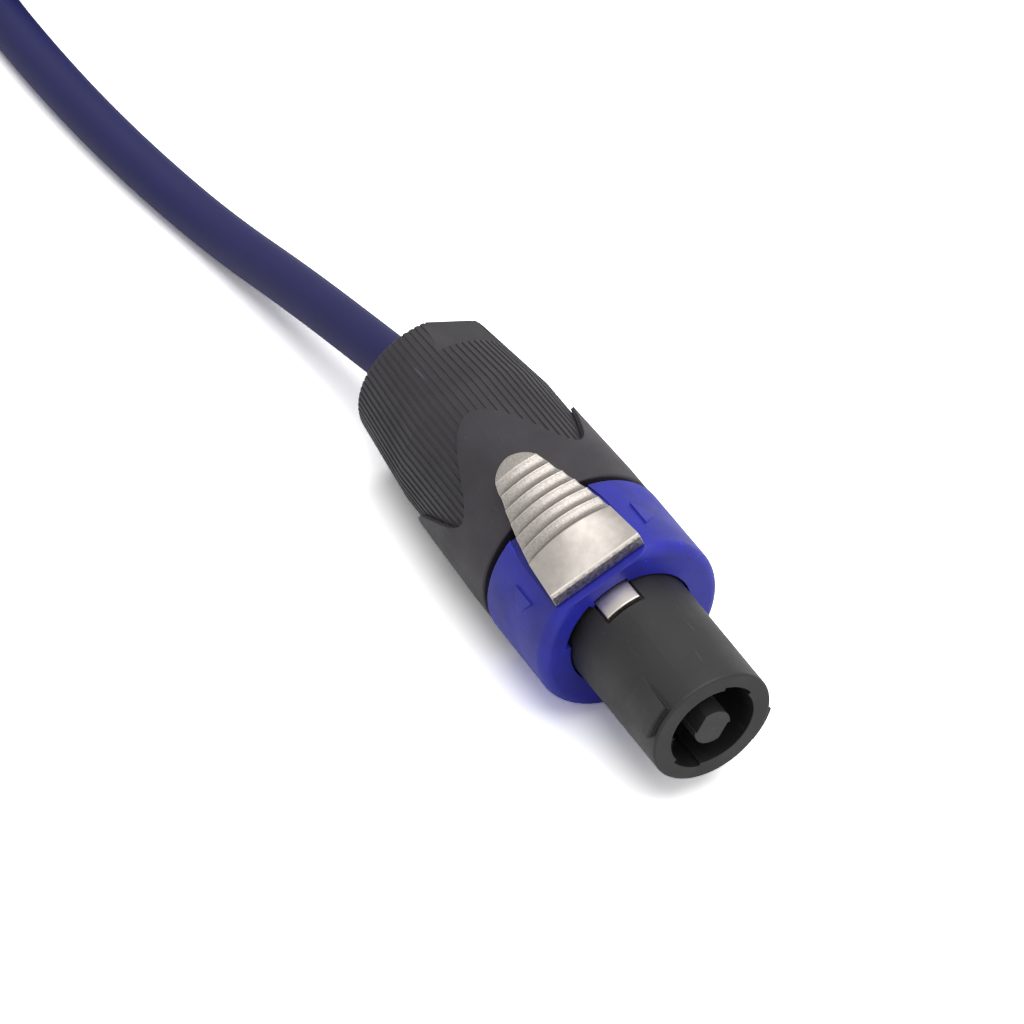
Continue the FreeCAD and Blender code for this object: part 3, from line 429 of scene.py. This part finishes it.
def plated_casting(name, code, side):
    """Die-cast zinc under satin nickel: a smooth panel with a painted highlight on its tongue, a grainy
    thumb grip with painted shade, a rough sawn front and painted edge highlights.
    """
    material, tree, place = new_material(name)
    round_normal, edge = soft_edges(tree, 0.3)
    own = add_node(
        tree,
        "ShaderNodeMapping",
        {
            "Vector": place,
            "Location": NOSE[side],
            "Rotation": connector_frame(side).to_euler(),
        },
        vector_type="TEXTURE",
    )
    axes = add_node(tree, "ShaderNodeSeparateXYZ", {0: own.outputs["Vector"]}).outputs
    grip = above(tree, axes["Z"], GRIP_START - 0.1 * MM, GRIP_START + 0.1 * MM)
    # the front wall stands above the tongue, which has the panel's finish
    front = both(
        tree,
        above(tree, axes["Z"], LATCH_FRONT + 0.3 * MM, LATCH_FRONT + 0.1 * MM),
        above(tree, axes["X"], TONGUE_TOP + 0.8 * MM, TONGUE_TOP + 1.2 * MM),
    )
    grain = add_node(
        tree, "ShaderNodeTexNoise", {"Vector": place, "Scale": 1 / CAST_GRAIN, "Detail": 3.0}
    )
    depth = add_node(
        tree, "ShaderNodeMath", {0: grip, 1: GRIP_DEPTH, 2: PANEL_DEPTH}, operation="MULTIPLY_ADD"
    )
    deeper = add_node(
        tree,
        "ShaderNodeMath",
        {0: front, 1: WALL_DEPTH, 2: depth.outputs["Value"]},
        operation="MULTIPLY_ADD",
    )
    bump = add_node(
        tree,
        "ShaderNodeBump",
        {
            "Height": grain.outputs["Fac"],
            "Distance": deeper.outputs["Value"],
            "Strength": 1.0,
            "Normal": round_normal,
        },
    )
    rough = add_node(
        tree,
        "ShaderNodeMapRange",
        {"Value": grain.outputs["Fac"], "To Min": 0.2, "To Max": 0.48},
    )
    # the low tongue is painted one and a half times lighter than the panel: a painted highlight
    low = above(tree, axes["X"], TONGUE_TOP + 1.2 * MM, TONGUE_TOP + 0.8 * MM)
    smooth = mottle(tree, place, 1.2, tinted(code, 0.94), tinted(code, 1.06))
    panel = blended(tree, low, smooth, tinted(code, 1.5))
    # the thumb grip keeps a real cast grain and is painted darker than the panel: painted shade for its
    # scoops
    grip_grain_and_shade = mottle(tree, place, 0.22, tinted(code, 0.68), tinted(code, 0.96))
    sawn = mottle(tree, place, 0.45, tinted(code, 0.5), tinted(code, 1.1), 5.0)
    cast = blended(tree, front, blended(tree, grip, panel, grip_grain_and_shade), sawn)
    # every edge of the latch is painted lighter: a painted edge highlight
    shader = add_node(
        tree,
        "ShaderNodeBsdfPrincipled",
        {
            "Base Color": blended(tree, edge, cast, tinted(code, 1.7)),
            "Metallic": 1.0,
            "Roughness": rough.outputs["Result"],
            "Normal": bump.outputs["Normal"],
        },
    )
    close_material(tree, shader)
    return material


def soft_jacket(name, code, grain_mm=0.35):
    """Plasticised PVC off the extruder: a soft satin skin with a fine draw grain."""
    material, tree, place = new_material(name)
    grain = add_node(
        tree, "ShaderNodeTexNoise", {"Vector": place, "Scale": 1000 / grain_mm, "Detail": 2.0}
    )
    bump = add_node(
        tree,
        "ShaderNodeBump",
        {"Height": grain.outputs["Fac"], "Distance": 0.012 * MM, "Strength": 1.0},
    )
    shader = add_node(
        tree,
        "ShaderNodeBsdfPrincipled",
        {
            "Base Color": mottle(tree, place, 7.0, tinted(code, 0.94), tinted(code, 1.06)),
            "Roughness": 0.62,
            "IOR": 1.45,
            "Normal": bump.outputs["Normal"],
        },
    )
    close_material(tree, shader)
    return material


def bare_metal(name, code, roughness, streak_mm=0.4):
    """Drawn, turned or plated metal: fine streaks along the connector's axis."""
    material, tree, place = new_material(name)
    stretched = add_node(tree, "ShaderNodeMapping", {"Vector": place, "Scale": (0.1, 1.0, 1.0)})
    streaks = add_node(
        tree,
        "ShaderNodeTexNoise",
        {"Vector": stretched.outputs["Vector"], "Scale": 1000 / streak_mm, "Detail": 4.0},
    )
    rough = add_node(
        tree,
        "ShaderNodeMapRange",
        {
            "Value": streaks.outputs["Fac"],
            "To Min": roughness - 0.08,
            "To Max": roughness + 0.08,
        },
    )
    shader = add_node(
        tree,
        "ShaderNodeBsdfPrincipled",
        {
            "Base Color": mottle(tree, place, 1.5, tinted(code, 0.9), tinted(code, 1.05)),
            "Metallic": 1.0,
            "Roughness": rough.outputs["Result"],
        },
    )
    close_material(tree, shader)
    return material


def woven_tape(name, code):
    """Hook-and-loop tape: brushed polyamide loops on a ribbed weave."""
    material, tree, place = new_material(name)
    # the weft ribs are 0.7 mm apart along the tape's width
    ribs = add_node(
        tree,
        "ShaderNodeTexWave",
        {"Vector": place, "Scale": 2 * math.pi / 20 / (0.7 * MM), "Distortion": 1.2, "Detail": 2.0},
        bands_direction="X",
    )
    loops = add_node(tree, "ShaderNodeTexVoronoi", {"Vector": place, "Scale": 1000 / 0.6})
    height = add_node(
        tree,
        "ShaderNodeMath",
        {0: ribs.outputs["Fac"], 1: loops.outputs["Distance"]},
        operation="ADD",
    )
    bump = add_node(
        tree,
        "ShaderNodeBump",
        {"Height": height.outputs["Value"], "Distance": 0.2 * MM, "Strength": 0.9},
    )
    shader = add_node(
        tree,
        "ShaderNodeBsdfPrincipled",
        {
            "Base Color": mottle(tree, place, 0.8, tinted(code, 0.6), tinted(code, 1.5)),
            "Roughness": 0.9,
            "Normal": bump.outputs["Normal"],
        },
    )
    close_material(tree, shader)
    return material


def dress(obj, material):
    """Give a piece its one finish."""
    obj.data.materials.clear()
    obj.data.materials.append(material)


def finish_nodes(names, material):
    for side in SIDES:
        for name in names:
            dress(frame["nodes"][f"{side}_{name}"], material)


def connector_frame(side):
    """A connector's own frame: X towards its latch, Z rearwards from the front of its nose."""
    angle = math.radians(ROLL[side])
    latch_way = Vector((0, -math.sin(angle), math.cos(angle)))
    side_way = Vector((0, math.cos(angle), math.sin(angle)))
    rearwards = Vector((-1, 0, 0))
    turn = Matrix((latch_way, side_way, rearwards)).transposed().to_4x4()
    return Matrix.Translation(NOSE[side]) @ turn


def start_at_lowest(bm):
    """Start each face at the lower of two opposite corners, as bevel picks another one each run."""
    for face in bm.faces[:]:
        ring = face.verts[:]
        first = ring.index(min(ring[::2], key=lambda corner: corner.co[:]))
        bm.faces.remove(face)
        bm.faces.new(ring[first:] + ring[:first])


def put_in_order(bm):
    """Order a bmesh by its corners' places, as spin and extrude return a new order each run."""
    for items in (bm.verts, bm.edges, bm.faces):
        placed = sorted(
            items, key=lambda item: sorted(corner.co[:] for corner in getattr(item, "verts", [item]))
        )
        for number, item in enumerate(placed):
            item.index = number
        items.sort()


def mesh_piece(name, bm, material, body):
    """Turn a finished bmesh into a piece that rides on a body."""
    put_in_order(bm)
    mesh = bpy.data.meshes.new(name)
    bm.to_mesh(mesh)
    bm.free()
    obj = bpy.data.objects.new(name, mesh)
    bpy.context.scene.collection.objects.link(obj)
    dress(obj, material)
    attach(obj, body)
    return obj


class CABLE_OT_stage(bpy.types.Operator):
    """Set up the white floor, the studio light and the camera"""

    bl_idname = "cable.set_stage"
    bl_label = "Set the Stage"

    def execute(self, context):
        settings = context.scene.stage_settings
        self.add_camera(context, settings)
        self.add_floor(settings)
        self.add_lamps(settings)
        self.add_world(context, settings)
        context.scene.view_settings.view_transform = "Standard"
        return {"FINISHED"}

    def add_camera(self, context, settings):
        data = bpy.data.cameras.new("camera")
        data.lens = settings.lens
        data.sensor_width = 36.0
        data.clip_start = 0.05
        data.clip_end = 50.0
        camera = bpy.data.objects.new("camera", data)
        right = Vector((0.50131, 0.86528, 0.0)).normalized()
        back = Vector((0.60967, -0.35322, 0.70961)).normalized()
        up = back.cross(right)
        camera.matrix_world = Matrix.Translation((0.385315, -0.23118, 0.47245)) @ Matrix(
            (right, up, back)
        ).transposed().to_4x4()
        context.scene.collection.objects.link(camera)
        context.scene.camera = camera

    def add_floor(self, settings):
        bm = bmesh.new()
        bmesh.ops.create_grid(bm, x_segments=1, y_segments=1, size=settings.floor_size / 2)
        mesh = bpy.data.meshes.new("floor")
        bm.to_mesh(mesh)
        bm.free()
        floor = bpy.data.objects.new("floor", mesh)
        bpy.context.scene.collection.objects.link(floor)
        material, tree, place = new_material("white paper sweep")
        tone = mottle(tree, place, 300.0, linear("E4E4E4"), linear("E6E6E6"))
        path = add_node(tree, "ShaderNodeLightPath").outputs
        clear = either(tree, path["Is Glossy Ray"], path["Is Transmission Ray"])
        mirrored = blended(tree, clear, tone, linear("FFFFFF"))
        # the camera sees the sweep over-exposed, so only the deeper part of a shadow is left
        seen = blended(tree, path["Is Camera Ray"], mirrored, (settings.over_exposure,) * 3 + (1.0,))
        close_material(tree, add_node(tree, "ShaderNodeBsdfDiffuse", {"Color": seen}))
        dress(floor, material)

    def add_lamps(self, settings):
        lamps = (
            ("overhead", settings.key_strength, 60.0, (0.1, 0.2, 1.3)),
            ("front", settings.front_strength, 60.0, (1.0, 0.2, 0.8)),
        )
        for name, strength, spread, way in lamps:
            data = bpy.data.lights.new(name, "SUN")
            data.energy = strength
            data.angle = math.radians(spread)
            lamp = bpy.data.objects.new(name, data)
            lamp.matrix_world = Vector(way).to_track_quat("Z", "Y").to_matrix().to_4x4()
            bpy.context.scene.collection.objects.link(lamp)

    def add_world(self, context, settings):
        world = bpy.data.worlds.new("studio")
        context.scene.world = world
        world.use_nodes = True
        tree = world.node_tree
        tree.nodes.clear()
        path = add_node(tree, "ShaderNodeLightPath").outputs
        glossy = either(tree, path["Is Camera Ray"], path["Is Glossy Ray"])
        clear = either(tree, glossy, path["Is Transmission Ray"])
        room = add_node(
            tree, "ShaderNodeBackground", {"Color": (1, 1, 1, 1), "Strength": settings.fill_strength}
        )
        seen = add_node(tree, "ShaderNodeBackground", {"Color": (1, 1, 1, 1), "Strength": 1.0})
        mixed = add_node(
            tree,
            "ShaderNodeMixShader",
            {0: clear, 1: room.outputs[0], 2: seen.outputs[0]},
        )
        add_node(tree, "ShaderNodeOutputWorld", {"Surface": mixed.outputs["Shader"]})


class CABLE_OT_strap(bpy.types.Operator):
    """Wrap the hook-and-loop strap round the hank's waist and lap its end"""

    bl_idname = "cable.wrap_strap"
    bl_label = "Wrap the Strap"

    def execute(self, context):
        sizes = context.scene.strap_sizes
        low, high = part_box("hank_strap")
        half = sizes.thickness / 2
        bm = bmesh.new()
        near_y, far_y = low.y + half, high.y - half
        bottom, top = low.z + half, high.z - half
        lapped_y = near_y - sizes.thickness - 0.05 * MM
        corners = (
            (near_y, sizes.lap_start),
            (near_y, top),
            (far_y, top),
            (far_y, bottom),
            (lapped_y, bottom),
            (lapped_y, sizes.lap_start + sizes.lap_length),
        )
        line = [bm.verts.new((low.x, y, z)) for y, z in corners]
        edges = [bm.edges.new(pair) for pair in zip(line, line[1:])]
        swept = bmesh.ops.extrude_edge_only(bm, edges=edges)["geom"]
        moved = [v for v in swept if isinstance(v, bmesh.types.BMVert)]
        bmesh.ops.translate(bm, verts=moved, vec=(high.x - low.x, 0.0, 0.0))
        folds = [
            e
            for e in bm.edges
            if len(e.link_faces) == 2 and e.calc_face_angle(0.0) > 1.0
        ]
        bmesh.ops.bevel(
            bm, geom=folds, offset=sizes.fold_radius, offset_type="OFFSET", affect="EDGES",
            segments=10, profile=0.5, material=-1,
        )
        start_at_lowest(bm)
        tape = woven_tape("woven hook-and-loop tape", sizes.colour)
        strap = mesh_piece("strap", bm, tape, "root")
        wall = strap.modifiers.new("tape thickness", "SOLIDIFY")
        wall.thickness = sizes.thickness
        wall.offset = 0.0
        wall.use_even_offset = True
        edge = strap.modifiers.new("woven edge", "BEVEL")
        edge.width = sizes.thickness / 4
        edge.segments = 2
        edge.limit_method = "ANGLE"
        for polygon in strap.data.polygons:
            polygon.use_smooth = True
        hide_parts("hank_strap")
        return {"FINISHED"}


class CABLE_OT_springs(bpy.types.Operator):
    """Wind the coil spring behind each latch"""

    bl_idname = "cable.wind_springs"
    bl_label = "Wind the Springs"

    def execute(self, context):
        sizes = context.scene.spring_sizes
        wire = sizes.wire / 2
        steel = bare_metal("drawn spring steel", "B5B5B8", 0.3, 0.2)
        for side in SIDES:
            bm = bmesh.new()
            bmesh.ops.create_circle(bm, cap_ends=True, radius=wire, segments=8)
            ring_middle = Vector((sizes.coil_diameter / 2 - wire, 0.0, sizes.front + wire))
            turn = Matrix.Rotation(math.pi / 2, 4, "X")
            bmesh.ops.transform(bm, matrix=Matrix.Translation(ring_middle) @ turn, verts=bm.verts)
            steps = sizes.turns * 14
            rise = (sizes.length - sizes.wire) / steps
            bmesh.ops.spin(
                bm, geom=bm.verts[:] + bm.edges[:] + bm.faces[:], cent=(0.0, 0.0, 0.0),
                axis=(0.0, 0.0, 1.0), dvec=(0.0, 0.0, rise), angle=2 * math.pi * sizes.turns,
                steps=steps, use_merge=False, use_duplicate=False,
            )
            bmesh.ops.remove_doubles(bm, verts=bm.verts, dist=1e-7)
            bmesh.ops.recalc_face_normals(bm, faces=bm.faces)
            place = connector_frame(side) @ Matrix.Translation((sizes.height, 0.0, 0.0))
            bmesh.ops.transform(bm, matrix=place, verts=bm.verts)
            spring = mesh_piece(f"{side}_return_spring", bm, steel, "root")
            for polygon in spring.data.polygons:
                polygon.use_smooth = True
            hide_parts(f"{side}_latch_spring")
            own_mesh(spring)
        return {"FINISHED"}


def draw_in(share):
    """How far a run is drawn in at a share of its length: none at its ends, all at the waist."""
    return (1 - math.cos(2 * math.pi * share)) / 2


def run_points(number, floor):
    """One run of the hank: points halfway between equal steps, drawn in at the strap."""
    away = number % 2 == 0
    sign = 1 if away else -1
    last = number == len(HANK_OFFSETS) - 1
    points = []
    for k in range(POINTS_A_RUN):
        share = (k + 0.5) / POINTS_A_RUN
        along = share if away else 1 - share
        layer = HANK_LAYER if number > CLIMBING_RUN else 0.0
        if number == CLIMBING_RUN:
            layer = HANK_LAYER * (1 - math.cos(math.pi * share)) / 2
        rise = HANK_LIFT * draw_in(share)
        if last and share > 0.5:
            rise = HANK_LIFT + LAST_RISE * (2 * share - 1) ** 2
        side = HANK_OFFSETS[number] - HANK_DRAWN * draw_in(share)
        x = HANK_START - HANK_RUN * along
        points.append((x, HANK_CENTRE - sign * side, floor + layer + rise))
    return points


def turn_points(x, y, radius, sign, low, high):
    """A half turn of the hank, sign +1 at its far end and -1 at its near end."""
    step = math.pi / POINTS_A_TURN
    reach = radius / math.cos(step / 2)
    points = []
    for k in range(POINTS_A_TURN):
        angle = (k + 0.5) * step
        height = low + (high - low) * angle / math.pi
        across = radius - reach * math.cos(angle)
        points.append((x - sign * reach * math.sin(angle), y + sign * across, height))
    return points


def cord_line(floor):
    """Every point of the cord's line, from the near connector to the far one."""
    points = [EXIT, *ROUTE]
    count = len(HANK_OFFSETS)
    for number in range(count):
        points += run_points(number, floor)
        if number == count - 1:
            break
        sign = 1 if number % 2 == 0 else -1
        radius = (HANK_OFFSETS[number] + HANK_OFFSETS[number + 1]) / 2
        x = HANK_START - (HANK_RUN if sign == 1 else 0.0)
        y = HANK_CENTRE - sign * HANK_OFFSETS[number]
        height = floor + (HANK_LAYER if number >= CLIMBING_RUN else 0.0)
        points += turn_points(x, y, radius, sign, height, height)
    side = HANK_CENTRE - HANK_OFFSETS[-1]
    step = LAST_TURN_RADIUS * math.tan(math.pi / POINTS_A_TURN / 2)
    points.append((LAST_TURN_X + step, side, LAST_TURN_LOW - 0.155 * step))
    points += turn_points(
        LAST_TURN_X, side, LAST_TURN_RADIUS, 1, LAST_TURN_LOW, LAST_TURN_HIGH
    )
    far_y, far_z = FAR_AXIS
    points.append((LAST_TURN_X + step, far_y, LAST_TURN_HIGH + 0.18 * step))
    for x in (-0.2800, -0.2734, FAR_REAR_X):
        points.append((x, far_y, far_z))
    return points


class CABLE_OT_cord(bpy.types.Operator):
    """Lay the cord, wind its spare length into the hank and bring it to the far connector"""

    bl_idname = "cable.lay_cord"
    bl_label = "Lay the Cord"

    def execute(self, context):
        sizes = context.scene.cord_sizes
        radius = sizes.diameter / 2
        curve = bpy.data.curves.new("cord", "CURVE")
        curve.dimensions = "3D"
        curve.bevel_depth = radius
        curve.bevel_resolution = 6
        curve.resolution_u = 8
        curve.use_fill_caps = True
        line = curve.splines.new("NURBS")
        points = cord_line(radius)
        line.points.add(len(points) - 1)
        for point, place in zip(line.points, points):
            point.co = (*place, 1.0)
        line.order_u = 3
        line.use_endpoint_u = True
        line.use_smooth = True
        cord = bpy.data.objects.new("cord", curve)
        context.scene.collection.objects.link(cord)
        curve.materials.append(soft_jacket("soft PVC jacket", sizes.jacket_colour))
        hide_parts("speaker_cord", "cord_hank")
        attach(cord, "root")
        with_pieces = [
            node
            for name, node in sorted(frame["nodes"].items())
            if name.startswith("far_") and name != "far_latch_spring"
        ]
        with_pieces += [bpy.data.objects["strap"], bpy.data.objects["far_return_spring"]]
        return {"FINISHED"}


class CABLE_OT_connectors(bpy.types.Operator):
    """Give the connectors' visible mouldings and castings their finish"""

    bl_idname = "cable.finish_connectors"
    bl_label = "Finish the Connectors"

    def execute(self, context):
        looks = context.scene.connector_looks
        # the nose's edges get the strongest painted edge highlight, four times its own colour
        finish_nodes(
            ["nose_housing"],
            moulded_nylon("moulded glass-filled nylon", looks.nose_colour, 0.3, 0.45, 0.012, 0.2, 4.0),
        )
        finish_nodes(
            ["contact_core"],
            moulded_nylon("moulded core nylon", looks.core_colour, 0.3, 0.5, 0.01, 0.12),
        )
        finish_nodes(
            ["outer_shell"],
            moulded_nylon("eroded nylon shell", looks.shell_colour, 0.25, 0.55, 0.012, 0.2),
        )
        finish_nodes(
            ["bushing"],
            moulded_nylon("eroded nylon bushing", looks.bushing_colour, 0.25, 0.52, 0.012, 0.12),
        )
        finish_nodes(
            ["colour_ring"],
            moulded_nylon("dyed nylon ring", looks.ring_colour, 0.25, 0.45, 0.008, 0.15, 1.15),
        )
        for side in SIDES:
            nickel = f"nickel-plated die-cast zinc, {side}"
            dress(frame["nodes"][f"{side}_latch"], plated_casting(nickel, looks.latch_colour, side))
        return {"FINISHED"}


class CABLE_OT_inside(bpy.types.Operator):
    """Give the contacts, terminals, conductors and chucks inside the connectors their finish"""

    bl_idname = "cable.finish_inside"
    bl_label = "Finish the Inner Pieces"

    def execute(self, context):
        strips = ["inner_contact_a", "inner_contact_b", "outer_contact_a", "outer_contact_b"]
        finish_nodes(strips, bare_metal("silver-plated bronze", "D6D4CE", 0.25))
        finish_nodes(["terminal_blocks"], bare_metal("machined brass", "C9A45C", 0.3))
        finish_nodes(["terminal_screws"], bare_metal("zinc-plated steel", "B9BBBF", 0.35))
        finish_nodes(["copper_ends"], bare_metal("stranded bare copper", "C27A4E", 0.35))
        finish_nodes(["chuck"], moulded_nylon("moulded acetal", "DADAD2", 0.3, 0.4, 0.006))
        finish_nodes(["wire_red"], soft_jacket("red PVC insulation", "A81712"))
        finish_nodes(["wire_black"], soft_jacket("black PVC insulation", "1C1C1D"))
        jacket = bpy.data.materials["soft PVC jacket"]
        finish_nodes(["cord_end"], jacket)
        return {"FINISHED"}


class CABLE_PT_panel(bpy.types.Panel):
    """Lists the steps that dress the cable"""

    bl_idname = "CABLE_PT_panel"
    bl_label = "Loudspeaker Cable"
    bl_space_type = "VIEW_3D"
    bl_region_type = "UI"
    bl_category = "Cable"

    def draw(self, context):
        for step in STEPS:
            self.layout.operator(step.bl_idname)


GROUPS = {
    "cord_sizes": CordSizes,
    "strap_sizes": StrapSizes,
    "spring_sizes": SpringSizes,
    "connector_looks": ConnectorLooks,
    "stage_settings": StageSettings,
}
STEPS = (
    CABLE_OT_stage,
    CABLE_OT_springs,
    CABLE_OT_strap,
    CABLE_OT_cord,
    CABLE_OT_connectors,
    CABLE_OT_inside,
)


def register():
    for kind in (*GROUPS.values(), *STEPS, CABLE_PT_panel):
        bpy.utils.register_class(kind)
    for name, kind in GROUPS.items():
        setattr(bpy.types.Scene, name, bpy.props.PointerProperty(type=kind))


def unregister():
    for name in GROUPS:
        delattr(bpy.types.Scene, name)
    for kind in reversed((*GROUPS.values(), *STEPS, CABLE_PT_panel)):
        bpy.utils.unregister_class(kind)


def main():
    register()
    bpy.ops.cable.set_stage()
    bpy.ops.cable.wind_springs()
    bpy.ops.cable.wrap_strap()
    bpy.ops.cable.lay_cord()
    bpy.ops.cable.finish_connectors()
    bpy.ops.cable.finish_inside()


if __name__ == "__main__":
    main()
